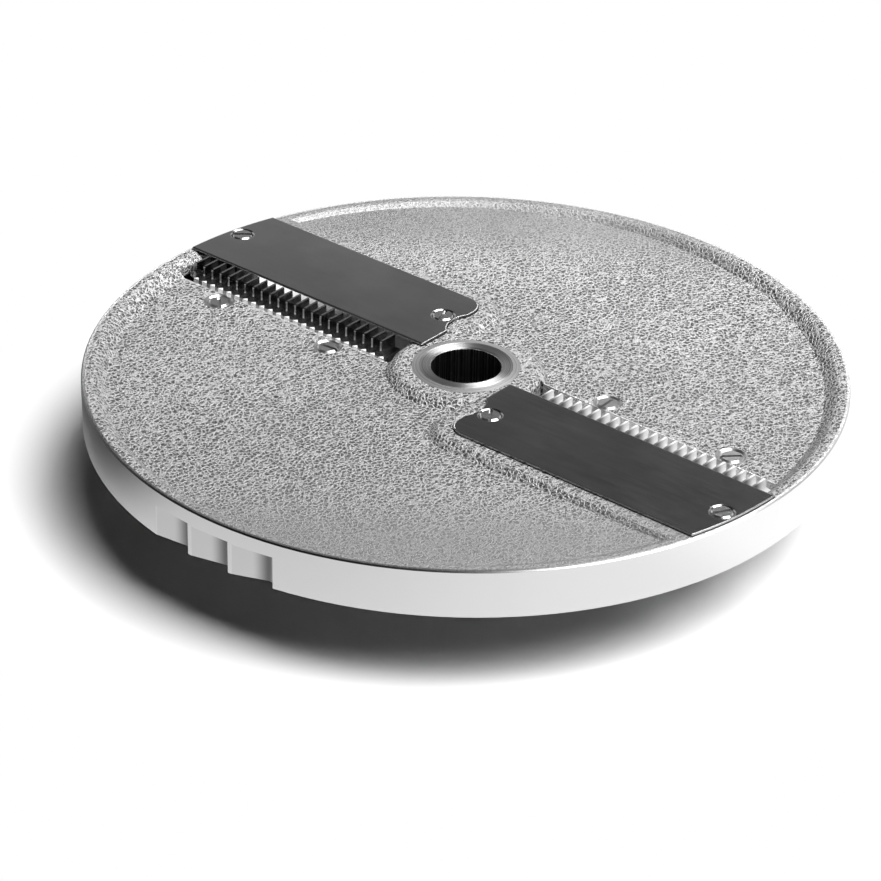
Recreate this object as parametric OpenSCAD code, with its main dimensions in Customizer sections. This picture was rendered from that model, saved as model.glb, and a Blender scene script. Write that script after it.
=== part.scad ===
// Julienne disc of a vegetable cutter: a cast disc that turns on a keyed shaft.
// Two flat blades lie half a turn apart in seats in its top, and ahead of each blade
// stands a comb of small upright knives that splits the slice into thin strips.
// Millimetres, Z up, standing on the foot of the hub with the bore on the Z axis.
// Blade a points along +X and its cutting edge faces +Y; b is the same, half a turn on.

/* [Disc] */
// Outside diameter of the disc
disc_diameter = 205; // [200:0.5:215]
// Height of the flat top above the foot of the hub
disc_height = 36; // [32:0.5:45]
// Thickness of the plate below the flat top
plate_thickness = 7; // [6.5:0.25:9]
// Height of the rim
rim_height = 13.2; // [11:0.1:18]
// Thickness of the rim's wall
rim_wall = 7; // [6:0.25:9]
// Bevel round the top of the rim
rim_bevel = 0.4; // [0.2:0.1:1]

/* [Hub] */
// Bore for the drive shaft
bore_diameter = 19; // [14:0.5:22]
// Bevel at both ends of the bore
bore_bevel = 0.4; // [0.2:0.1:1]
// Diameter of the flat turned face round the bore
hub_face_diameter = 25.2; // [24:0.2:27]
// Diameter of the sloping ring round the turned face
hub_ring_diameter = 29; // [28:0.2:31]
// Height of the turned face above the flat top
hub_rise = 0.3; // [0.1:0.1:1]
// Diameter of the hub's foot under the plate
foot_diameter = 34; // [30:0.5:36]
// Slope that joins the foot to the plate
foot_gusset = 3; // [1:0.5:5]
// Width of the drive slot across the foot
drive_slot_width = 6; // [4:0.5:8]
// Depth of the drive slot
drive_slot_depth = 8; // [4:0.5:12]

/* [In-feed recess] */
// Depth of the recess on the line of the bore
recess_depth = 2.1; // [1.9:0.05:2.4]
// Fall of the recess floor towards the comb's outer end, in degrees
recess_fall = 0.65; // [0.4:0.05:0.8]
// Flat ring left between the rim and the recess
ring_width = 2.5; // [2:0.1:4]
// Radius of the flat land round the hub
hub_land_radius = 18; // [17:0.25:19]
// Flat land left behind the blade
back_land = 2.9; // [2:0.1:5]
// Radius of the land's corner beside the hub
land_corner_radius = 8.5; // [6:0.5:10]
// Place of that corner's side, from the bore
land_corner_x = 14; // [13:0.25:16]
// Radius of the recess corner between land and rim
recess_corner_radius = 8; // [7:0.5:10]
// Run of the soft step down into the recess
step_run = 6; // [5:0.25:7]
// Full fall of that step, of which the floor takes the upper part
step_fall = 3.6; // [3.4:0.1:4]

/* [Blades] */
// Thickness of a blade
blade_thickness = 1.5; // [1.2:0.1:2]
// Height of the blade above the flat top
blade_proud = 0.7; // [0.4:0.1:0.9]
// Cutting edge to the line through the bore
edge_offset = 0.4; // [0.2:0.1:1]
// Cutting edge to the back of the blade
blade_width = 29; // [27:0.5:31]
// Outer end of the blade to the rim
blade_end_margin = 1.2; // [0.8:0.1:2]
// Bore to the blade's inner end at the cutting edge
blade_start = 15.9; // [15:0.1:17]
// Bore to the inner end behind the waist
blade_heel_start = 17.3; // [16.8:0.1:18]
// Radius of the waist in the inner end, beside the inner screw
waist_radius = 8; // [7:0.25:9]
// Metal left between the waist and that screw's countersink
waist_wall = 0.2; // [0.1:0.1:0.6]
// Radius of the corner at the back of the inner end
blade_corner_radius = 5.5; // [4:0.5:6]
// Run of the ground bevel under the cutting edge
grind_run = 3.4; // [2:0.1:5]
// Run of the fine bevel on top of the cutting edge
honed_run = 0.5; // [0.3:0.1:0.9]
// Fall of that fine bevel
honed_fall = 0.25; // [0.1:0.05:0.3]
// Thickness left at the very edge
edge_thickness = 0.15; // [0.1:0.05:0.3]
// Free space round a blade in its seat
seat_clearance = 0.25; // [0.15:0.05:0.5]

/* [Combs] */
// Most knives in one comb
knife_count = 23; // [12:1:23]
// Spacing of the knives
knife_pitch = 3.125; // [2.5:0.025:3.15]
// Least distance from the bore to the first knife
first_knife = 25.6; // [25:0.1:26.5]
// Last knife to the rim, along the blade
last_knife_margin = 8.15; // [8:0.05:10]
// Thickness of a knife
knife_thickness = 0.6; // [0.4:0.05:0.9]
// Length of a knife along the cut
knife_length = 5.6; // [5:0.1:6]
// Height of a knife above the bar
knife_height = 3.8; // [3:0.1:4]
// Depth of a knife's foot in the bar
knife_foot = 3; // [2:0.25:4]
// Radius of a knife's leading corner
knife_corner_radius = 0.5; // [0.3:0.1:1]
// Top of the knives below the top of the blade
knife_drop = 0.4; // [0.3:0.05:0.6]
// Back of the knives ahead of the cutting edge
knife_gap = 0.1; // [0.05:0.05:0.3]
// Strip of the bar in front of the knives
bar_strip = 1.7; // [1.2:0.1:2]
// Bar beyond the first knife
bar_inner_end = 2.1; // [1.6:0.1:2.5]
// Bar beyond the last knife
bar_outer_end = 2.35; // [1.5:0.05:2.4]
// Radius of the bar's outer front corner
bar_corner_radius = 3; // [2:0.25:4]
// Thickness of the bar's flange under the plate
flange_thickness = 5; // [4:0.25:6]
// Width of the flange
flange_width = 11; // [10:0.5:12]
// Bar to the lip of the recess
lip_gap = 2.4; // [1.5:0.1:3]
// Bar to the outer end of the slot
slot_end_gap = 0.4; // [0.3:0.1:0.8]
// Radius of the inner end of the slot
slot_start_radius = 20.5; // [20:0.1:21.5]
// Casting edge under the blade, behind the cutting edge
nose_setback = 4.1; // [4:0.1:5]
// Thickness of that casting edge
nose_thickness = 1.4; // [1.2:0.1:1.6]
// Width of the sloping underside behind it
nose_slope = 7; // [6:0.25:8]

/* [Screws] */
// Thread diameter of all screws
screw_diameter = 4; // [3.5:0.1:4.2]
// Head diameter
screw_head = 6; // [5.8:0.1:6.2]
// Bevel round the flat top of the head
head_bevel = 0.5; // [0.3:0.05:0.6]
// Width of the driver slot
driver_slot_width = 0.9; // [0.7:0.1:1.2]
// Depth of the driver slot
driver_slot_depth = 0.9; // [0.6:0.1:1.1]
// Direction of the slot in each blade screw: a 1, a 2, b 1, b 2
blade_screw_turns = [126, 60, 110, 40]; // [0:1:180]
// Direction of the slot in each comb screw: a 1, a 2, b 1, b 2
comb_screw_turns = [93, 45, 5, 137]; // [0:1:180]
// Sink of a blade screw's head rim below the blade's top
blade_screw_sink = 0.4; // [0.2:0.05:0.4]
// Length of a blade screw below its head rim
blade_screw_length = 10; // [8:0.5:12]
// Bore to the inner blade screw, along the blade
blade_screw_1_x = 22.3; // [22.2:0.1:24]
// Inner blade screw behind the cutting edge
blade_screw_1_back = 16.5; // [16:0.1:18]
// Outer blade screw to the rim, along the blade
blade_screw_2_margin = 6.3; // [6:0.1:7.5]
// Outer blade screw behind the cutting edge
blade_screw_2_back = 15.4; // [14.5:0.1:16]
// Diameter of the boss round a blade screw
boss_diameter = 9; // [8:0.25:9.5]
// Height of that boss below the plate
boss_height = 5; // [4:0.25:6]
// Bore to the inner comb screw, along the blade
comb_screw_1_x = 37.8; // [36:0.1:40]
// Outer comb screw to the rim, along the blade
comb_screw_2_margin = 24.3; // [22.5:0.1:26.5]
// Comb screws ahead of the front of the bar
comb_screw_ahead = 6.1; // [5.8:0.1:6.5]
// Length of a comb screw below its head rim
comb_screw_length = 10; // [9:0.25:10]
// Sink of a comb screw's head rim below the recess floor
comb_screw_sink = 0.5; // [0.4:0.05:0.6]
// Space round a comb screw's head at the bottom of its funnel
funnel_margin = 0.45; // [0.4:0.05:0.5]
// Space round a screw in a plain hole
hole_clearance = 0.15; // [0.1:0.05:0.25]

/* [Rim notches] */
// Notches in one group
notch_count = 3; // [1:1:4]
// Angle from one notch to the next
notch_step = 7.5; // [7.2:0.1:10]
// Angle that one notch's ramp takes up
notch_sweep = 7; // [5:0.1:7]
// Direction of the last notch's wall, from blade a
notch_end = -77.8; // [-90:0.1:-60]
// Depth of a notch at its wall
notch_depth = 3; // [2:0.1:3.5]
// Radius at the foot of a notch
notch_radius = 2.5; // [1.5:0.1:3]
// Roof of a notch below the flat top
notch_roof = 4.2; // [3:0.1:6]
// Fall of that roof from the rim to the foot
notch_roof_fall = 1.5; // [0.5:0.1:2.5]

/* [View] */
// Part to draw: "all" or one name from the list of parts

/* [Hidden] */
$fn = 96;
slack = 0.01;
disc_radius = disc_diameter / 2;
skirt_radius = disc_radius - rim_wall;
foot_radius = foot_diameter / 2;
blade_back = edge_offset + blade_width;
blade_top = blade_proud;
blade_under = blade_proud - blade_thickness;
blade_end_radius = disc_radius - blade_end_margin;
head_depth = (screw_head - screw_diameter) / 2;
countersink = screw_head + 2 * blade_screw_sink;

knife_top = blade_top - knife_drop;
knife_back = knife_gap - edge_offset;
knife_front = knife_back + knife_length;
bar_top = knife_top - knife_height;
bar_bottom = -plate_thickness - flange_thickness;
bar_front = knife_front + bar_strip;
last_knife = disc_radius - last_knife_margin;
knives = min(knife_count, 1 + floor((last_knife - first_knife) / knife_pitch + slack));
comb_start = last_knife - (knives - 1) * knife_pitch;
bar_start_radius = comb_start - bar_inner_end;
bar_end = last_knife + bar_outer_end;
slot_end = bar_end + slot_end_gap;
slot_front = bar_front + lip_gap;
nose_back = edge_offset + nose_setback;
nose_bottom = blade_under - nose_thickness;
slot_back = nose_back + nose_slope;
comb_screw_y = bar_front + comb_screw_ahead;
comb_screw_2_x = disc_radius - comb_screw_2_margin;
flange_start = comb_screw_1_x - flange_width;
flange_end = comb_screw_2_x + flange_width;

ring_radius = disc_radius - ring_width;
land_back = blade_back + back_land;
land_corner_y = land_back - land_corner_radius;
land_corner_side = land_corner_x + land_corner_radius;
recess_corner_y = land_back + recess_corner_radius;
recess_corner_x = sqrt(pow(ring_radius - recess_corner_radius, 2) - pow(recess_corner_y, 2));
recess_corner_turn = atan2(recess_corner_y, recess_corner_x);
recess_corner_sides = 3;
step_parts = 7;

blade_screws = [
    [blade_screw_1_x, -edge_offset - blade_screw_1_back],
    [disc_radius - blade_screw_2_margin, -edge_offset - blade_screw_2_back]
];
comb_screws = [[comb_screw_1_x, comb_screw_y], [comb_screw_2_x, comb_screw_y]];
sides = ["a", "b"];

function two_digits(n) = n < 10 ? str("0", n) : str(n);
function knife_names(side) = [for (i = [1:knives]) str("knife_", side, "_", two_digits(i))];

// Half a turn brings the b pieces to their place
function turn(side) = side == "a" ? 0 : 180;

// Points along an arc, ends included
function arc(centre, radius, from, to, parts = 8) = [
    for (i = [0:parts])
        let (angle = from + (to - from) * i / parts)
        centre + radius * [cos(angle), sin(angle)]
];

// Height of the soft step at a distance from its top edge
function step_height(run) = -step_fall * (1 - cos(180 * run / step_run)) / 2;

// Section of solid metal that ends in the soft step: the top edge is at start,
// the metal lies behind it and the step falls ahead of it
module step_section(start, behind) {
    polygon(concat(
        [[start - behind, -step_fall - 1], [start - behind, 1], [start, 1]],
        [for (i = [0:step_parts]) [start + step_run * i / step_parts, step_height(step_run * i / step_parts)]],
        [[start + step_run, -step_fall - 1]]
    ));
}

// The same section lying outside a round recess of the given radius
module outer_step_section(radius, beyond) {
    translate([radius, 0]) mirror([1, 0]) step_section(0, beyond);
}

// Metal that stays round the recess ahead of a comb
module recess_surround() {
    // Ring inside the rim
    rotate_extrude() outer_step_section(ring_radius, ring_width + 2);
    // Land round the hub
    rotate_extrude() step_section(hub_land_radius, hub_land_radius);
    // Land behind the other blade, its side beside the hub and the corner between
    translate([-land_corner_side, 0, 0]) rotate([90, 0, -90]) mirror([1, 0, 0])
        linear_extrude(disc_radius) step_section(land_back, land_back + 2);
    translate([-land_corner_side, land_corner_y, 0]) rotate([90, 0, 0])
        linear_extrude(land_corner_y + 2) step_section(land_corner_radius, land_corner_radius);
    translate([-land_corner_side, land_corner_y, 0])
        rotate_extrude(angle = 90) step_section(land_corner_radius, land_corner_radius);
    // Inside corner between that land and the ring, in short straight lengths
    for (i = [1:recess_corner_sides])
        translate([-recess_corner_x, recess_corner_y, 0])
            rotate(180 - recess_corner_turn + i * (90 + recess_corner_turn) / (recess_corner_sides + 1))
                translate([0, recess_corner_radius, 0]) rotate([90, 0, 0])
                    linear_extrude(2 * recess_corner_radius) outer_step_section(recess_corner_radius, 4);
}

// Shallow recess that guides the food down to the comb
module recess_cut() {
    difference() {
        translate([0, 0, -recess_depth]) rotate([0, recess_fall, 0])
            translate([-disc_radius - 1, seat_clearance - edge_offset, 0])
                cube([disc_diameter + 2, disc_radius + 2, recess_depth * 2]);
        recess_surround();
    }
}

// Opening in which the comb stands, and through which the strips fall
module slot_cut() {
    section = [
        [slot_front, 1],
        [-nose_back, 1],
        [-nose_back, nose_bottom],
        [-slot_back, -plate_thickness],
        [-slot_back, -disc_height],
        [slot_front, -disc_height]
    ];
    difference() {
        rotate([90, 0, 90]) linear_extrude(slot_end) polygon(section);
        translate([0, 0, -disc_height - 1]) cylinder(h = disc_height + 3, r = slot_start_radius);
    }
}

// Outline of a blade seen from above, grown evenly for its seat
module blade_outline(grow = 0) {
    screw = blade_screws[0];
    radius = waist_radius - grow;
    waist_x = screw[0] - countersink / 2 - waist_wall - waist_radius;
    front_angle = acos((blade_start - grow - waist_x) / radius);
    heel_angle = acos((blade_heel_start - grow - waist_x) / radius);
    intersection() {
        circle(r = blade_end_radius + grow);
        polygon(concat(
            [[disc_radius + 1, grow - edge_offset], [blade_start - grow, grow - edge_offset]],
            arc([waist_x, screw[1]], radius, front_angle, -heel_angle, 12),
            arc([blade_heel_start + blade_corner_radius, -blade_back + blade_corner_radius],
                blade_corner_radius + grow, 180, 270),
            [[disc_radius + 1, -blade_back - grow]]
        ));
    }
}

// Height of the recess floor at a place along the comb
function floor_height(x) = -recess_depth - x * tan(recess_fall);

// Height of a comb screw's head rim
function comb_screw_height(place) = floor_height(place[0]) - comb_screw_sink;

// Room for a screw: a countersink that goes on above its head and a plain shank hole
module screw_room(length, above, clearance) {
    translate([0, 0, -length]) cylinder(h = length, d = screw_diameter + 2 * clearance);
    translate([0, 0, -head_depth]) cylinder(
        h = head_depth + above, d1 = screw_diameter, d2 = screw_head + 2 * above);
}

// One notch: a ramp into the rim that ends in a wall along the radius
module notch_cut() {
    start = [disc_radius * cos(notch_sweep), -disc_radius * sin(notch_sweep)];
    foot = disc_radius - notch_depth;
    lean = atan2(start[0] - foot, -start[1]);
    middle = [(foot * cos(lean) + notch_radius * (1 + sin(lean))) / cos(lean), -notch_radius];
    outside = start + notch_radius * [sin(lean), -cos(lean)];
    intersection() {
        translate([0, 0, -disc_height]) linear_extrude(disc_height)
            polygon(concat(
                [outside],
                arc(middle, notch_radius, 180 + lean, 90),
                [[disc_radius + 4, 0], [disc_radius + 4, outside[1]]]
            ));
        translate([0, notch_radius, 0]) rotate([90, 0, 0]) linear_extrude(disc_radius / 2)
            polygon([
                [foot, -notch_roof - notch_roof_fall],
                [disc_radius, -notch_roof],
                [disc_radius + 5, -notch_roof],
                [disc_radius + 5, -disc_height],
                [foot, -disc_height]
            ]);
    }
}

// Casting as turned, before anything is cut into it
module casting_blank() {
    rotate_extrude() polygon([
        [0, hub_rise],
        [hub_face_diameter / 2, hub_rise],
        [hub_ring_diameter / 2, 0],
        [disc_radius - rim_bevel, 0],
        [disc_radius, -rim_bevel],
        [disc_radius, -rim_height],
        [skirt_radius, -rim_height],
        [skirt_radius, -plate_thickness - 2],
        [skirt_radius - 2, -plate_thickness],
        [foot_radius + foot_gusset, -plate_thickness],
        [foot_radius, -plate_thickness - foot_gusset],
        [foot_radius, -disc_height],
        [0, -disc_height]
    ]);
    for (side = sides, place = blade_screws)
        rotate(turn(side)) translate([place[0], place[1], -plate_thickness - boss_height])
            cylinder(h = boss_height + 1, d = boss_diameter);
}

module hub_cuts() {
    bore_radius = bore_diameter / 2;
    rotate_extrude() polygon([
        [0, hub_rise + slack],
        [bore_radius + bore_bevel + slack, hub_rise + slack],
        [bore_radius, hub_rise - bore_bevel],
        [bore_radius, bore_bevel - disc_height],
        [bore_radius + bore_bevel + slack, -disc_height - slack],
        [0, -disc_height - slack]
    ]);
    translate([-foot_radius - 1, -drive_slot_width / 2, -disc_height - 1])
        cube([foot_diameter + 2, drive_slot_width, drive_slot_depth + 1]);
}

module disc_casting() {
    color("silver") translate([0, 0, disc_height]) difference() {
        casting_blank();
        hub_cuts();
        for (side = sides) rotate(turn(side)) {
            recess_cut();
            slot_cut();
            translate([0, 0, blade_under]) linear_extrude(blade_thickness)
                blade_outline(seat_clearance);
            for (place = blade_screws) translate([place[0], place[1], -disc_height])
                cylinder(h = disc_height, d = screw_diameter);
            for (place = comb_screws) translate([place[0], place[1], comb_screw_height(place)]) {
                screw_room(plate_thickness, 0, hole_clearance);
                cylinder(h = recess_depth, r1 = screw_head / 2 + funnel_margin,
                         r2 = screw_head / 2 + funnel_margin + recess_depth);
            }
            for (i = [0:notch_count - 1]) rotate(notch_end - i * notch_step) notch_cut();
        }
    }
}

// Flat blade with a ground edge and two countersunk holes
module blade() {
    section = [
        [-edge_offset, blade_top - honed_fall],
        [-edge_offset - honed_run, blade_top],
        [-blade_back, blade_top],
        [-blade_back, blade_under],
        [-edge_offset - grind_run, blade_under],
        [-edge_offset, blade_top - honed_fall - edge_thickness]
    ];
    color("dimgray") difference() {
        intersection() {
            rotate([90, 0, 90]) linear_extrude(disc_radius) polygon(section);
            translate([0, 0, blade_under - 1]) linear_extrude(blade_thickness + 2) blade_outline();
        }
        for (place = blade_screws)
            translate([place[0], place[1], blade_top - blade_screw_sink])
                screw_room(blade_thickness + 1, blade_screw_sink + 1, hole_clearance);
    }
}

// Slotted countersunk screw with a bevelled flat head, its head rim at height 0
module slotted_screw(length, slot_angle) {
    head = screw_head / 2;
    color("lightgray") difference() {
        rotate_extrude() polygon([
            [0, -length],
            [screw_diameter / 2, -length],
            [screw_diameter / 2, -head_depth],
            [head, 0],
            [head - head_bevel, head_bevel],
            [0, head_bevel]
        ]);
        rotate(slot_angle)
            translate([-screw_head, -driver_slot_width / 2, head_bevel - driver_slot_depth])
                cube([2 * screw_head, driver_slot_width, driver_slot_depth + 1]);
    }
}

// Blank of one knife, foot included
module knife_plate() {
    bottom = bar_top - knife_foot;
    rotate([90, 0, 90]) translate([0, 0, -knife_thickness / 2]) linear_extrude(knife_thickness)
        polygon(concat(
            [[knife_back, bottom], [knife_front, bottom]],
            arc([knife_front - knife_corner_radius, knife_top - knife_corner_radius],
                knife_corner_radius, 0, 90, 5),
            [[knife_back, knife_top]]
        ));
}

module knife(number) {
    color("gainsboro") translate([comb_start + (number - 1) * knife_pitch, 0, 0]) knife_plate();
}

// Bar that holds the knives, with a flange that is screwed up under the plate
module comb_bar() {
    color("darkgray") difference() {
        union() {
            translate([0, 0, bar_bottom]) linear_extrude(bar_top - bar_bottom) difference() {
                polygon(concat(
                    [[0, knife_back], [bar_end, knife_back]],
                    arc([bar_end - bar_corner_radius, bar_front - bar_corner_radius],
                        bar_corner_radius, 0, 90),
                    [[0, bar_front]]
                ));
                circle(r = bar_start_radius);
            }
            translate([flange_start, bar_front - 1, bar_bottom])
                cube([flange_end - flange_start, flange_width + 1, flange_thickness]);
        }
        for (i = [1:knives])
            translate([comb_start + (i - 1) * knife_pitch - knife_thickness / 2,
                       knife_back - 1, bar_top - knife_foot])
                cube([knife_thickness, knife_length + 1, knife_foot + 1]);
        for (place = comb_screws) translate([place[0], place[1], bar_bottom - 1])
            cylinder(h = flange_thickness + 2, d = screw_diameter);
    }
}

// Slot direction of screw i on a side, seen from above with the whole disc
function slot_turn(turns, side, i) = turns[i + (side == "b" ? 1 : -1)];

// Moves a piece drawn for blade a, with heights from the flat top, to its side
module place_on(side) {
    translate([0, 0, disc_height]) rotate(turn(side)) children();
}

module blade_screw(place, slot_angle) {
    translate([place[0], place[1], blade_top - blade_screw_sink])
        slotted_screw(blade_screw_length, slot_angle);
}

module comb_screw(place, slot_angle) {
    translate([place[0], place[1], comb_screw_height(place)])
        slotted_screw(comb_screw_length, slot_angle);
}

disc_casting();
for (side = sides) {
    place_on(side) blade();
    place_on(side) comb_bar();
    for (i = [1, 2]) {
        place_on(side) blade_screw(blade_screws[i - 1], slot_turn(blade_screw_turns, side, i));
        place_on(side) comb_screw(comb_screws[i - 1], slot_turn(comb_screw_turns, side, i));
    }
    for (i = [1:knives])
        place_on(side) knife(i);
}
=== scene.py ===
import math

import bpy
from mathutils import Matrix, Vector


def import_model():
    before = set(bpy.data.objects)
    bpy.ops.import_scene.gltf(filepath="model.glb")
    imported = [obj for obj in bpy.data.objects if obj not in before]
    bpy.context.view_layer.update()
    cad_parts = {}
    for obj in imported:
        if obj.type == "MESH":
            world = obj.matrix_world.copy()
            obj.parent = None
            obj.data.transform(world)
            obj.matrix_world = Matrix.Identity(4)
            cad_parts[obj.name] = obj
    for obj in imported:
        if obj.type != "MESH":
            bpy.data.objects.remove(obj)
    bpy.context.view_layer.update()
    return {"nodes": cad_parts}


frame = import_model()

MM = 0.001

# Sizes of the casting that its finishes and its painted light and shade follow, in metres
TOP = 36.0 * MM
DISC_RADIUS = 102.5 * MM
SKIRT_RADIUS = 95.5 * MM
HUB_FACE_RADIUS = 12.62 * MM
HUB_RING_RADIUS = 14.55 * MM
BORE_REACH = 10.2 * MM
FUNNEL_REACH = 4.3 * MM
LIP_WALL = 9.4 * MM
LIP_EDGE = 0.4 * MM
LIP_START = 19.0 * MM
NOTCH_DEPTH = 3.0 * MM

# Heights on the casting at which one finish gives way to another, and where painted light and shade
# stop
HUB_LEVEL = TOP - 0.01 * MM
BORE_LEVEL = TOP - 0.05 * MM
BEVEL_LEVEL = TOP - 0.45 * MM
LIP_LEVEL = TOP - 1.6 * MM
FUNNEL_LEVEL = TOP - 2.6 * MM
NOTCH_ROOF = TOP - 4.0 * MM

# How far the finishes and the bands of painted light and shade reach past the faces that they
# belong to
LIP_SLACK = 0.05 * MM
NOTCH_SLACK = 0.1 * MM
SKIRT_SLACK = 0.3 * MM
RIM_SLACK = 0.35 * MM
BEVEL_SPAN = (DISC_RADIUS - 1.2 * MM, DISC_RADIUS - 0.8 * MM)
NOTCH_SHADE_SPAN = (DISC_RADIUS - 0.9 * NOTCH_DEPTH, DISC_RADIUS - 0.5 * NOTCH_DEPTH)

# Greys of the casting; a pair goes from the dark marks to the light ones. The near grain, bore,
# notch, lip and bevel greys are painted light and shade.
PIT_TONE = 0.05
GRAIN_TONES = (0.46, 0.55)
NEAR_SHADE_TONE = 0.36
HUB_FACE_TONES = (0.24, 0.42)
HUB_RING_TONES = (0.18, 0.30)
BORE_SHADE_TONES = (0.06, 0.35)
RIM_TONE = 0.70
NOTCH_SHADE_TONES = (0.10, 0.62)
FUNNEL_TONE = 0.40
LIP_EDGE_HIGHLIGHT_TONE = 0.50
LIP_WALL_PAINTED_LIGHT_TONE = 0.60
BEVEL_PAINTED_LIGHT_TONE = 0.60
BEVEL_PAINTED_SHADE_TONE = 0.06

# The rim's bevel turns from its painted light at the back to its painted shade at the front at this
# distance from the axis
BEVEL_SHADE_AZIMUTH = 5.0
BEVEL_SHADE_SPAN = (0.03, 0.09)

# Shine of the casting
GRAIN_ROUGHNESS = (0.42, 0.58)
TURNED_ROUGHNESS = 0.30
HUB_FACE_ROUGHNESS = 0.40
HUB_FACE_ANISOTROPY = 0.92
GRAIN_METALLIC = 0.65
HUB_RING_METALLIC = 0.5

# Grain of the casting: cells with a net of ridges between them and fine specks over both
GRAIN_CELL = 1.3 * MM
GRAIN_RELIEF = 0.26 * MM
NET_WIDTH = 0.26
NET_LIGHT = 0.55
DRIFT_SCALE = 1.1 / GRAIN_CELL
DRIFT_REACH = 0.8 * GRAIN_CELL
SPECK_SCALE = 3.2 / GRAIN_CELL
SPECK_RELIEF = 0.7
SPECK_LIGHT = 2.1
PIT_SPAN = (-0.05, 0.55)
CLOUD_SCALE = 0.035 / GRAIN_CELL

# Where the top's grain is painted softer and where it is painted darker, as distances from the axis
# towards the camera
PAINTED_SOFT_SPAN = (0.04, 0.088)
PAINTED_SOFT_SHARE = 0.84
PAINTED_SOFT_NET = 0.42
PAINTED_SOFT_SPECK = 0.5
NEAR_SHADE_SPAN = (-0.09, 0.09)

# Turning marks: noise along the radius or the height, and streaks round the bore
TURNING_SCALE = 2500.0
TURNING_RELIEF = 0.02
STREAK_SCALE = 14.0

# Spans of a noise that are stretched to full contrast
SOFT_CONTRAST = (0.2, 0.8)
CLOUD_CONTRAST = (0.3, 0.7)
RING_CONTRAST = (0.35, 0.65)
STREAK_CONTRAST = (0.4, 0.7)
STAIN_CONTRAST = (0.35, 0.7)
RARE_CONTRAST = (0.74, 0.86)

# Sizes of the combs and blades that their finishes and their painted light and shade follow
KNIFE_PITCH = 3.125 * MM
FIRST_KNIFE = 25.6 * MM
KNIFE_SPAN = (0.5 * MM, 4.5 * MM)
LIT_PATCH_START = 6.0 * MM
LIT_PATCH_SLOPE = 3.4 * MM
BLADE_END_REACH = 20.0 * MM
SINK_REACH = 4.4 * MM

# Greys, marks and relief of the steel pieces; the knife, lit patch and blade end greys are painted
# light and shade
MARK_SCALE = 3000.0
STAIN_SCALE = 180.0
BLADE_MARK_SCALE = 2600.0
BLADE_SPECK_SCALE = 1500.0
BLADE_CLOUD_SCALE = 45.0
BLADE_ROUGHNESS = (0.13, 0.17)
BLADE_END_FACING = (0.10, 0.20)
LIT_PATCH_METALLIC = 0.2
LIT_PATCH_ROUGHNESS = 0.5
KNIFE_SHADE_AND_LIGHT_TONES = (0.07, 0.74)
LIT_PATCH_TONE = 0.95
BLADE_END_SHADE_AND_HIGHLIGHT_TONES = (0.03, 0.95)
STEEL_RELIEF = 0.006 * MM
BLADE_RELIEF = 0.0006 * MM
BLADE_EDGE_RADIUS = 0.32 * MM

# The photograph's camera: place round the disc's top centre, then small turns off the aim
CAMERA_AZIMUTH = 39.2
CAMERA_ELEVATION = 29.093
CAMERA_DISTANCE = 0.94238
CAMERA_PITCH = 1.2202
CAMERA_YAW = 0.3897
CAMERA_ROLL = 1.2591
CAMERA_CLIP = 0.01
FOCAL_PIXELS = 3526.5
IMAGE_PIXELS = 881
SENSOR_MM = 36.0

# One large soft lamp from the right of the camera, and a bright card that only shines in metal
KEY_AZIMUTH = CAMERA_AZIMUTH + 64.0
KEY_ELEVATION = 61.0
KEY_DISTANCE = 2.5
KEY_SIZE = (2.05, 2.05)
KEY_POWER = 150.0
CARD_AZIMUTH = CAMERA_AZIMUTH + 146.0
CARD_ELEVATION = 55.0
CARD_DISTANCE = 1.0
CARD_SIZE = (0.55, 0.4)
CARD_POWER = 6.5

# The world: its light on dull surfaces, and what metal sees from the horizon to overhead
FILL_LEVEL = 0.01
HORIZON_SPAN = (0.30, 0.54)
HORIZON_LEVEL = 1.0
OVERHEAD_LEVEL = 0.05

# The floor: half its width, and where it turns into plain white, as distances from the axis
FLOOR_REACH = 3.0
FLOOR_TONE = 0.95
FLOOR_ROUGHNESS = 0.12
FLOOR_SHINE = 0.15
PLAIN_FOR_CAMERA = (0.115, 0.15)
PLAIN_FOR_METAL = (0.105, 0.13)

# Painted reflection in the floor's glow that metal alone sees: dark at the picture's left, for the
# floor's shadow there, and lighter in steps to the right
LEFT_AZIMUTH = CAMERA_AZIMUTH + 57.0
LEFT_RAMP = (-0.110, -0.065, 0.10, 1.0)
RIGHT_AZIMUTH = CAMERA_AZIMUTH + 91.0
RIGHT_RAMP = (-0.12, 0.08, 0.82, 1.12)
FAR_RIGHT_RAMP = (0.095, 0.115, 0.0, 0.30)

# Numbers of the sockets A and B and of the result on a Mix node
MIX_SOCKETS = {"FLOAT": (2, 3, 0), "RGBA": (6, 7, 2)}


def direction(azimuth, elevation):
    """Unit vector from the disc towards a place at this azimuth, 0 being -Y, and elevation."""
    a, e = math.radians(azimuth), math.radians(elevation)
    return Vector((math.sin(a) * math.cos(e), -math.cos(a) * math.cos(e), math.sin(e)))


def grey(value):
    return (value, value, value, 1.0)


def new_object(name, data):
    """Object with this data, in the scene."""
    item = bpy.data.objects.new(name, data)
    bpy.context.collection.objects.link(item)
    return item


def middle(node):
    """Centre of a CAD piece seen from above."""
    corners = [node.matrix_world @ Vector(corner) for corner in node.bound_box]
    return sum(corners, Vector()) / len(corners) * Vector((1, 1, 0))


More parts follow.
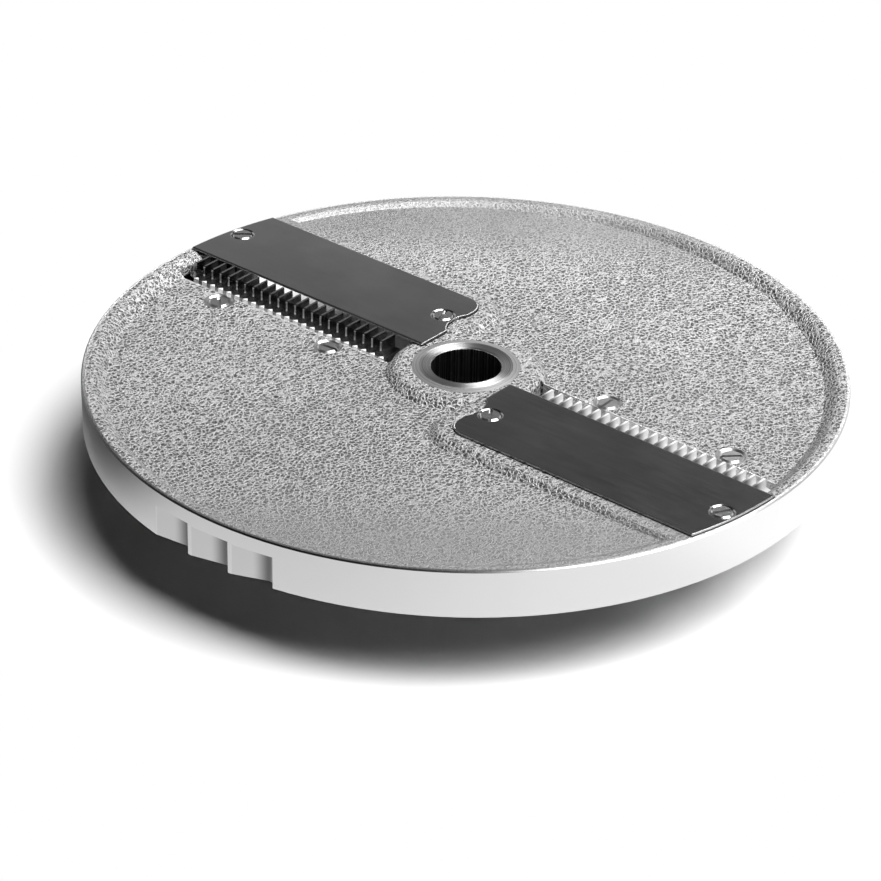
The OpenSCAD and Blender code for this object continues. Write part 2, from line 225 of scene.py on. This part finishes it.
class Tree:
    """Short calls for the nodes of one material or of the world."""

    def __init__(self, owner, shader="Principled BSDF", coordinates="Object"):
        owner.use_nodes = True
        self.owner = owner
        self.nodes = owner.node_tree.nodes
        self.links = owner.node_tree.links
        self.shader = self.nodes[shader]
        self.place = self.node("TexCoord").outputs[coordinates]
        self.x, self.y, self.z = self.split(self.place)

    def put(self, value, socket):
        """Sets a socket to a constant, or links it to the socket that the value comes from."""
        if isinstance(value, bpy.types.NodeSocket):
            self.links.new(value, socket)
        else:
            socket.default_value = value

    def set(self, **values):
        """Sets sockets of the main shader, such as Base_Color for Base Color."""
        for key, value in values.items():
            self.put(value, self.shader.inputs[key.replace("_", " ")])

    def node(self, kind, *values, **settings):
        """New node with these settings and with these values on its first sockets."""
        node = self.nodes.new("ShaderNode" + kind)
        for key, setting in settings.items():
            setattr(node, key, setting)
        for socket, value in zip(node.inputs, values):
            self.put(value, socket)
        return node

    def split(self, vector):
        return self.node("SeparateXYZ", vector).outputs

    def combine(self, *numbers):
        return self.node("CombineXYZ", *numbers).outputs[0]

    def math(self, operation, *values):
        return self.node("Math", *values, operation=operation).outputs[0]

    def absolute(self, value):
        return self.math("ABSOLUTE", value)

    def less(self, value, limit):
        """Mask of the places where the value is below the limit."""
        return self.math("LESS_THAN", value, limit)

    def more(self, value, limit):
        """Mask of the places where the value is above the limit."""
        return self.math("GREATER_THAN", value, limit)

    def all_of(self, first, *others):
        """Mask of the places that are in every one of these masks."""
        for mask in others:
            first = self.math("MULTIPLY", first, mask)
        return first

    def any_of(self, first, *others):
        """Mask of the places that are in one of these masks or more."""
        for mask in others:
            first = self.math("MAXIMUM", first, mask)
        return first

    def dot(self, vector, axis):
        return self.node("VectorMath", vector, axis, operation="DOT_PRODUCT").outputs["Value"]

    def distance(self, vector, point):
        return self.node("VectorMath", vector, point, operation="DISTANCE").outputs["Value"]

    def stretched(self, factors):
        """The place with each of its numbers times a factor."""
        node = self.node("Mapping", self.place)
        node.inputs["Scale"].default_value = factors
        return node.outputs[0]

    def ramp(self, value, low, high, start=0.0, end=1.0):
        """Value moved from the span low..high to start..end, softly and without overshoot."""
        spans = (value, low, high, start, end)
        return self.node("MapRange", *spans, interpolation_type="SMOOTHSTEP").outputs["Result"]

    def noise(self, place, scale, detail=2.0, roughness=0.5, output="Fac"):
        node = self.node("TexNoise")
        self.put(place, node.inputs["Vector"])
        node.inputs["Scale"].default_value = scale
        node.inputs["Detail"].default_value = detail
        node.inputs["Roughness"].default_value = roughness
        return node.outputs[output]

    def mix(self, data_type, factor, first, second):
        node = self.node("Mix", factor, data_type=data_type)
        a, b, result = MIX_SOCKETS[data_type]
        self.put(first, node.inputs[a])
        self.put(second, node.inputs[b])
        return node.outputs[result]

    def mix_value(self, factor, first, second):
        return self.mix("FLOAT", factor, first, second)

    def mix_colour(self, factor, first, second):
        """Mixes two colours; a plain number stands for a grey."""
        pair = [grey(colour) if isinstance(colour, float) else colour for colour in (first, second)]
        return self.mix("RGBA", factor, *pair)

    def rounded_normal(self, radius):
        """Normal of the surface with its sharp edges rounded off."""
        node = self.node("Bevel")
        node.inputs["Radius"].default_value = radius
        return node.outputs["Normal"]

    def bump(self, height, distance, rounded=0.0):
        """Bumps the surface, with its sharp edges rounded off where a radius is given."""
        node = self.node("Bump")
        if rounded:
            self.put(self.rounded_normal(rounded), node.inputs["Normal"])
        self.put(height, node.inputs["Height"])
        node.inputs["Distance"].default_value = distance
        self.set(Normal=node.outputs["Normal"])


def material_tree(name):
    return Tree(bpy.data.materials.new(name))


def casting_areas(t, plan, radius):
    """Masks of the casting's finishes and of its painted light and shade, by the distance from the
    axis and the height.
    """
    on_top = t.more(t.z, HUB_LEVEL)
    hub = t.all_of(t.less(radius, HUB_RING_RADIUS), on_top)
    face = t.all_of(t.less(radius, HUB_FACE_RADIUS), on_top)
    bore = t.all_of(t.less(radius, BORE_REACH), t.less(t.z, BORE_LEVEL))
    rim = t.more(radius, DISC_RADIUS - RIM_SLACK)
    low = t.less(t.z, NOTCH_ROOF)
    skirt = t.all_of(t.more(radius, SKIRT_RADIUS - SKIRT_SLACK), low)
    funnels = t.any_of(*[
        t.all_of(t.less(t.distance(plan, middle(node)), FUNNEL_REACH), t.less(t.z, FUNNEL_LEVEL))
        for name, node in frame["nodes"].items() if name.startswith("comb_screw")
    ])

    # The lip is a slot's wall across from the knives, with the small edge above that wall; the edge
    # gets a painted highlight and the wall painted light
    off_axis = t.absolute(t.y)
    off_lip = t.absolute(t.math("SUBTRACT", off_axis, LIP_WALL + LIP_EDGE / 2))
    beside_a_comb = t.more(t.math("MULTIPLY", t.x, t.y), 0.0)
    lip = t.all_of(t.less(off_lip, LIP_EDGE / 2 + LIP_SLACK), t.less(t.z, LIP_LEVEL),
                   beside_a_comb, t.more(t.absolute(t.x), LIP_START))
    return {
        "hub": hub,
        "face": face,
        "ring": t.math("SUBTRACT", hub, face),
        "bore": bore,
        "funnels": funnels,
        "turned": t.any_of(hub, bore, rim, skirt, funnels),
        "notch": t.all_of(low, t.less(radius, DISC_RADIUS - NOTCH_SLACK)),
        "lip": lip,
        "lip_wall": t.less(off_axis, LIP_WALL + LIP_SLACK),
        "bevel": t.all_of(t.ramp(radius, *BEVEL_SPAN), t.more(t.z, BEVEL_LEVEL)),
    }


def casting_net(t):
    """Net of ridges round the grain's cells, pulled about by noise."""
    drift = t.noise(t.place, DRIFT_SCALE, output="Color")
    reach = (DRIFT_REACH,) * 3
    moved = t.node("VectorMath", drift, reach, t.place, operation="MULTIPLY_ADD").outputs[0]
    cells = t.node("TexVoronoi", moved, feature="DISTANCE_TO_EDGE")
    cells.inputs["Scale"].default_value = 1.0 / GRAIN_CELL
    cells.inputs["Randomness"].default_value = 0.95
    return t.ramp(cells.outputs["Distance"], 0.0, NET_WIDTH, 1.0, 0.0)


def casting_material():
    """Grained cast aluminium, turned bright on the hub, the rim and round the comb screws, with
    painted light and shade on the grain, the bore, the notches, the lip and the rim's bevel.
    """
    t = material_tree("cast_aluminium")
    plan = t.combine(t.x, t.y)
    radius = t.math("SQRT", t.math("ADD", t.math("MULTIPLY", t.x, t.x),
                                   t.math("MULTIPLY", t.y, t.y)))
    on = casting_areas(t, plan, radius)

    # Grain: a light net round small darker pits. It is painted softer towards the top's near and
    # far edges, for how the light and the blur of focus fall there, and it gets painted shade on
    # the camera's side
    towards_camera = t.dot(t.place, direction(CAMERA_AZIMUTH, 0.0))
    painted_soft = t.math("MULTIPLY", t.ramp(t.absolute(towards_camera), *PAINTED_SOFT_SPAN), PAINTED_SOFT_SHARE)
    net = t.mix_value(painted_soft, casting_net(t), PAINTED_SOFT_NET)
    fine = t.noise(t.place, SPECK_SCALE, roughness=0.6)
    height = t.math("ADD", net, t.math("MULTIPLY", fine, SPECK_RELIEF))
    speck = t.math("SUBTRACT", t.mix_value(painted_soft, fine, PAINTED_SOFT_SPECK), PAINTED_SOFT_SPECK)
    lit = t.math("ADD", t.math("MULTIPLY", net, NET_LIGHT),
                 t.math("MULTIPLY", speck, SPECK_LIGHT))
    clouds = t.ramp(t.noise(t.place, CLOUD_SCALE, detail=3.0), *CLOUD_CONTRAST)
    near_shade = t.ramp(towards_camera, *NEAR_SHADE_SPAN)
    light = t.mix_colour(near_shade, t.mix_colour(clouds, *GRAIN_TONES), NEAR_SHADE_TONE)
    grain = t.mix_colour(t.ramp(lit, *PIT_SPAN), PIT_TONE, light)

    # Turned areas: rings round the axis on the hub; the bore is painted dark as the shade deep
    # inside it, with upright streaks of painted reflection
    rings = t.noise(t.combine(t.math("MULTIPLY", radius, TURNING_SCALE)), 1.0)
    ringed = t.ramp(rings, *RING_CONTRAST)
    hub = t.mix_colour(on["ring"], t.mix_colour(ringed, *HUB_FACE_TONES),
                       t.mix_colour(ringed, *HUB_RING_TONES))
    angle = t.math("ARCTAN2", t.y, t.x)
    streaks = t.noise(t.combine(t.math("MULTIPLY", angle, STREAK_SCALE)), 1.0)
    bore = t.mix_colour(t.ramp(streaks, *STREAK_CONTRAST), *BORE_SHADE_TONES)

    # Painted shade: a notch darkens towards its wall, where it would mirror the shadow under the
    # disc
    rim = t.mix_value(on["notch"], RIM_TONE, t.ramp(radius, *NOTCH_SHADE_SPAN, *NOTCH_SHADE_TONES))
    bright = t.mix_colour(on["hub"], rim, hub)
    bright = t.mix_colour(on["bore"], bright, bore)
    bright = t.mix_colour(on["funnels"], bright, FUNNEL_TONE)

    # Painted shade and light: the bevel inside the rim is painted dark on the side of the camera
    # and painted light behind
    ahead = t.dot(t.place, direction(BEVEL_SHADE_AZIMUTH, 0.0))
    bevel = t.mix_colour(t.ramp(ahead, *BEVEL_SHADE_SPAN), BEVEL_PAINTED_LIGHT_TONE, BEVEL_PAINTED_SHADE_TONE)

    # Painted light on the lip: a painted highlight along its edge and painted light on its wall
    lip = t.mix_colour(on["lip_wall"], LIP_EDGE_HIGHLIGHT_TONE, LIP_WALL_PAINTED_LIGHT_TONE)
    colour = t.mix_colour(on["turned"], t.mix_colour(on["lip"], grain, lip), bright)
    grain_roughness = t.ramp(fine, *CLOUD_CONTRAST, *GRAIN_ROUGHNESS)
    turned_roughness = t.mix_value(on["face"], TURNED_ROUGHNESS, HUB_FACE_ROUGHNESS)
    turned_metallic = t.mix_value(on["ring"], 1.0, HUB_RING_METALLIC)
    t.set(Base_Color=t.mix_colour(on["bevel"], colour, bevel),
          Roughness=t.mix_value(on["turned"], grain_roughness, turned_roughness),
          Metallic=t.mix_value(on["turned"], GRAIN_METALLIC, turned_metallic))

    # The hub's face spreads a highlight across its rings
    t.set(Tangent=plan, Anisotropic=t.math("MULTIPLY", on["face"], HUB_FACE_ANISOTROPY))

    # Turning marks in relief: rings on the hub, lines along the rim
    lines = t.noise(t.combine(t.math("MULTIPLY", t.z, TURNING_SCALE)), 1.0)
    marks = t.math("MULTIPLY", t.mix_value(on["hub"], lines, rings), TURNING_RELIEF)
    t.bump(t.mix_value(on["turned"], height, marks), GRAIN_RELIEF)
    return t.owner


def blade_material(name, tone, inward, screw, line, nearest):
    """Dark ground steel with faint specks and long grinding marks.

    A painted highlight of this width runs along the inner end, which faces inward along X, clear of
    the inner screw and no nearer to the X axis than nearest. The wall below it gets painted shade.
    """
    t = material_tree(name)
    specks = t.ramp(t.noise(t.place, BLADE_SPECK_SCALE, roughness=0.7), *RARE_CONTRAST)
    clouds = t.ramp(t.noise(t.place, BLADE_CLOUD_SCALE, detail=3.0), *CLOUD_CONTRAST)
    ground = t.mix_colour(clouds, tone * 0.9, tone * 1.1)
    ground = t.mix_colour(specks, ground, tone * 1.9)

    # Painted highlight on the top of the inner end and painted shade on its wall
    facing = t.dot(t.rounded_normal(line), (inward, 0.0, 0.0))
    from_screw = t.distance(t.combine(t.x, t.y), middle(frame["nodes"][screw]))
    at_painted_end = t.all_of(t.ramp(facing, *BLADE_END_FACING), t.less(t.absolute(t.x), BLADE_END_REACH),
                      t.more(from_screw, SINK_REACH), t.more(t.absolute(t.y), nearest))
    upward = t.split(t.node("NewGeometry").outputs["True Normal"])[2]
    end = t.mix_colour(t.more(upward, 0.5), *BLADE_END_SHADE_AND_HIGHLIGHT_TONES)

    marks = t.noise(t.stretched((0.04, 1.0, 1.0)), BLADE_MARK_SCALE)
    t.set(Base_Color=t.mix_colour(at_painted_end, ground, end),
          Metallic=t.math("SUBTRACT", 1.0, at_painted_end),
          Roughness=t.ramp(marks, *SOFT_CONTRAST, *BLADE_ROUGHNESS))
    t.bump(marks, BLADE_RELIEF, rounded=BLADE_EDGE_RADIUS)
    return t.owner


def steel_material(name, tone, roughness, marks_across=(1.0, 1.0, 1.0)):
    """Bright steel with fine marks, drawn out along the axis whose factor is small."""
    t = material_tree(name)
    marks = t.noise(t.stretched(marks_across), MARK_SCALE)
    stain = t.ramp(t.noise(t.place, STAIN_SCALE, detail=3.0), *STAIN_CONTRAST)
    t.set(Base_Color=t.mix_colour(stain, tone * 0.88, tone),
          Roughness=t.ramp(marks, *SOFT_CONTRAST, roughness * 0.8, roughness * 1.2),
          Metallic=1.0)
    t.bump(marks, STEEL_RELIEF)
    return t.owner


def knife_material():
    """Ground steel with painted light on a knife's front and painted shade under the blade's edge.
    """
    t = material_tree("knife_steel_a")
    t.set(Base_Color=t.mix_colour(t.ramp(t.y, *KNIFE_SPAN), *KNIFE_SHADE_AND_LIGHT_TONES),
          Roughness=0.4, Metallic=0.3)
    return t.owner


def bar_material(name, tone, roughness, side):
    """Smooth machined steel with a painted patch of light at the front edge between two knives,
    where light falls between their shadows.

    The bar lies on the side of the axis where X and Y times side are positive.
    """
    t = material_tree(name)
    along = t.math("MULTIPLY", t.x, side)
    ahead = t.math("MULTIPLY", t.y, side)
    step = t.math("FRACT", t.math("DIVIDE", t.math("SUBTRACT", along, FIRST_KNIFE), KNIFE_PITCH))
    off_middle = t.absolute(t.math("SUBTRACT", step, 0.5))
    # Painted light: a triangle of light at the front edge between two knives
    lit_patch = t.more(ahead, t.math("ADD", LIT_PATCH_START, t.math("MULTIPLY", off_middle, LIT_PATCH_SLOPE)))
    t.set(Base_Color=t.mix_colour(lit_patch, tone, LIT_PATCH_TONE),
          Metallic=t.mix_value(lit_patch, 1.0, LIT_PATCH_METALLIC),
          Roughness=t.mix_value(lit_patch, roughness, LIT_PATCH_ROUGHNESS))
    t.bump(t.noise(t.stretched((0.06, 1.0, 1.0)), MARK_SCALE), STEEL_RELIEF)
    return t.owner


def paint_nodes():
    """Gives every CAD piece the material of its kind, which is the start of its name."""
    materials = {
        "disc_casting": casting_material(),
        "blade_a": blade_material("blade_steel_a", tone=0.30, inward=-1.0,
                                  screw="blade_screw_a_1", line=0.75 * MM, nearest=15.0 * MM),
        "blade_b": blade_material("blade_steel_b", tone=0.34, inward=1.0,
                                  screw="blade_screw_b_1", line=0.50 * MM, nearest=0.0),
        "knife_a": knife_material(),
        "knife_b": steel_material("knife_steel_b", tone=0.34, roughness=0.20,
                                  marks_across=(1.0, 1.0, 0.1)),
        "comb_bar_a": bar_material("bar_steel_a", tone=0.50, roughness=0.40, side=1.0),
        "comb_bar_b": bar_material("bar_steel_b", tone=0.34, roughness=0.16, side=-1.0),
        "blade_screw": steel_material("screw_steel", tone=0.45, roughness=0.22),
        "comb_screw": steel_material("comb_screw_steel", tone=0.34, roughness=0.34),
    }
    for name, node in frame["nodes"].items():
        kind = next(kind for kind in materials if name.startswith(kind))
        node.data.materials.clear()
        node.data.materials.append(materials[kind])


def floor():
    """Glossy white floor under the disc that turns into plain white a little way off."""
    mesh = bpy.data.meshes.new("floor")
    corners = [(-1, -1), (1, -1), (1, 1), (-1, 1)]
    mesh.from_pydata([(x * FLOOR_REACH, y * FLOOR_REACH, 0) for x, y in corners], [],
                     [(0, 1, 2, 3)])
    ground = new_object("floor", mesh)

    t = material_tree("white_floor")
    t.set(Base_Color=grey(FLOOR_TONE), Roughness=FLOOR_ROUGHNESS, Specular_IOR_Level=FLOOR_SHINE)
    away = t.node("VectorMath", t.place, operation="LENGTH").outputs["Value"]
    ray = t.node("LightPath").outputs
    for_camera = t.all_of(t.ramp(away, *PLAIN_FOR_CAMERA), ray["Is Camera Ray"])
    for_metal = t.all_of(t.ramp(away, *PLAIN_FOR_METAL), ray["Is Glossy Ray"])

    # Painted reflection: the glow that the rim mirrors is dark at the picture's left, for the
    # floor's shadow there, and grows brighter towards the right of the picture
    left = t.ramp(t.dot(t.place, direction(LEFT_AZIMUTH, 0.0)), *LEFT_RAMP)
    aside = t.dot(t.place, direction(RIGHT_AZIMUTH, 0.0))
    right = t.math("ADD", t.ramp(aside, *RIGHT_RAMP), t.ramp(aside, *FAR_RIGHT_RAMP))
    mirrored = t.math("MULTIPLY", left, right)
    strength = t.mix_value(ray["Is Camera Ray"], mirrored, 1.0)
    plain = t.node("Emission", grey(1.0), strength).outputs[0]
    blend = t.node("MixShader", t.any_of(for_camera, for_metal), t.shader.outputs[0], plain)
    t.put(blend.outputs[0], t.nodes["Material Output"].inputs["Surface"])
    mesh.materials.append(t.owner)


def world():
    """White backdrop; what shines sees it bright at the horizon and dark overhead."""
    t = Tree(bpy.data.worlds.new("studio"), "Background", "Generated")
    bpy.context.scene.world = t.owner
    ray = t.node("LightPath").outputs
    for_metal = t.ramp(t.z, *HORIZON_SPAN, HORIZON_LEVEL, OVERHEAD_LEVEL)
    unseen = t.mix_value(ray["Is Glossy Ray"], FILL_LEVEL, for_metal)
    t.set(Color=grey(1.0), Strength=t.mix_value(ray["Is Camera Ray"], unseen, 1.0))


def area_light(name, azimuth, elevation, distance, size, power):
    """Rectangular lamp that shines on the disc's top centre."""
    lamp = bpy.data.lights.new(name, "AREA")
    lamp.shape = "RECTANGLE"
    lamp.size, lamp.size_y = size
    lamp.energy = power
    holder = new_object(name, lamp)
    spot = direction(azimuth, elevation) * distance
    holder.location = spot + Vector((0, 0, TOP))
    holder.rotation_euler = (-spot).to_track_quat("-Z", "Y").to_euler()
    return holder


def lights():
    """The soft key lamp, and the card that metal alone sees."""
    area_light("key", KEY_AZIMUTH, KEY_ELEVATION, KEY_DISTANCE, KEY_SIZE, KEY_POWER)
    card = area_light("card", CARD_AZIMUTH, CARD_ELEVATION, CARD_DISTANCE, CARD_SIZE, CARD_POWER)
    card.visible_diffuse = False
    card.visible_camera = False


def camera():
    """The photograph's camera, which looks past the disc's top centre by a degree or so."""
    data = bpy.data.cameras.new("camera")
    data.sensor_width = SENSOR_MM
    data.lens = SENSOR_MM * FOCAL_PIXELS / IMAGE_PIXELS
    data.clip_start = CAMERA_CLIP
    view = new_object("camera", data)
    spot = direction(CAMERA_AZIMUTH, CAMERA_ELEVATION) * CAMERA_DISTANCE + Vector((0, 0, TOP))
    pose = Matrix.Translation(spot)
    for angle, axis in ((CAMERA_AZIMUTH, "Z"), (90 - CAMERA_ELEVATION, "X"),
                        (-CAMERA_PITCH, "X"), (CAMERA_YAW, "Y"), (CAMERA_ROLL, "Z")):
        pose = pose @ Matrix.Rotation(math.radians(angle), 4, axis)
    view.matrix_world = pose
    bpy.context.scene.camera = view


bpy.context.scene.view_settings.view_transform = "Standard"
paint_nodes()
floor()
world()
lights()
camera()
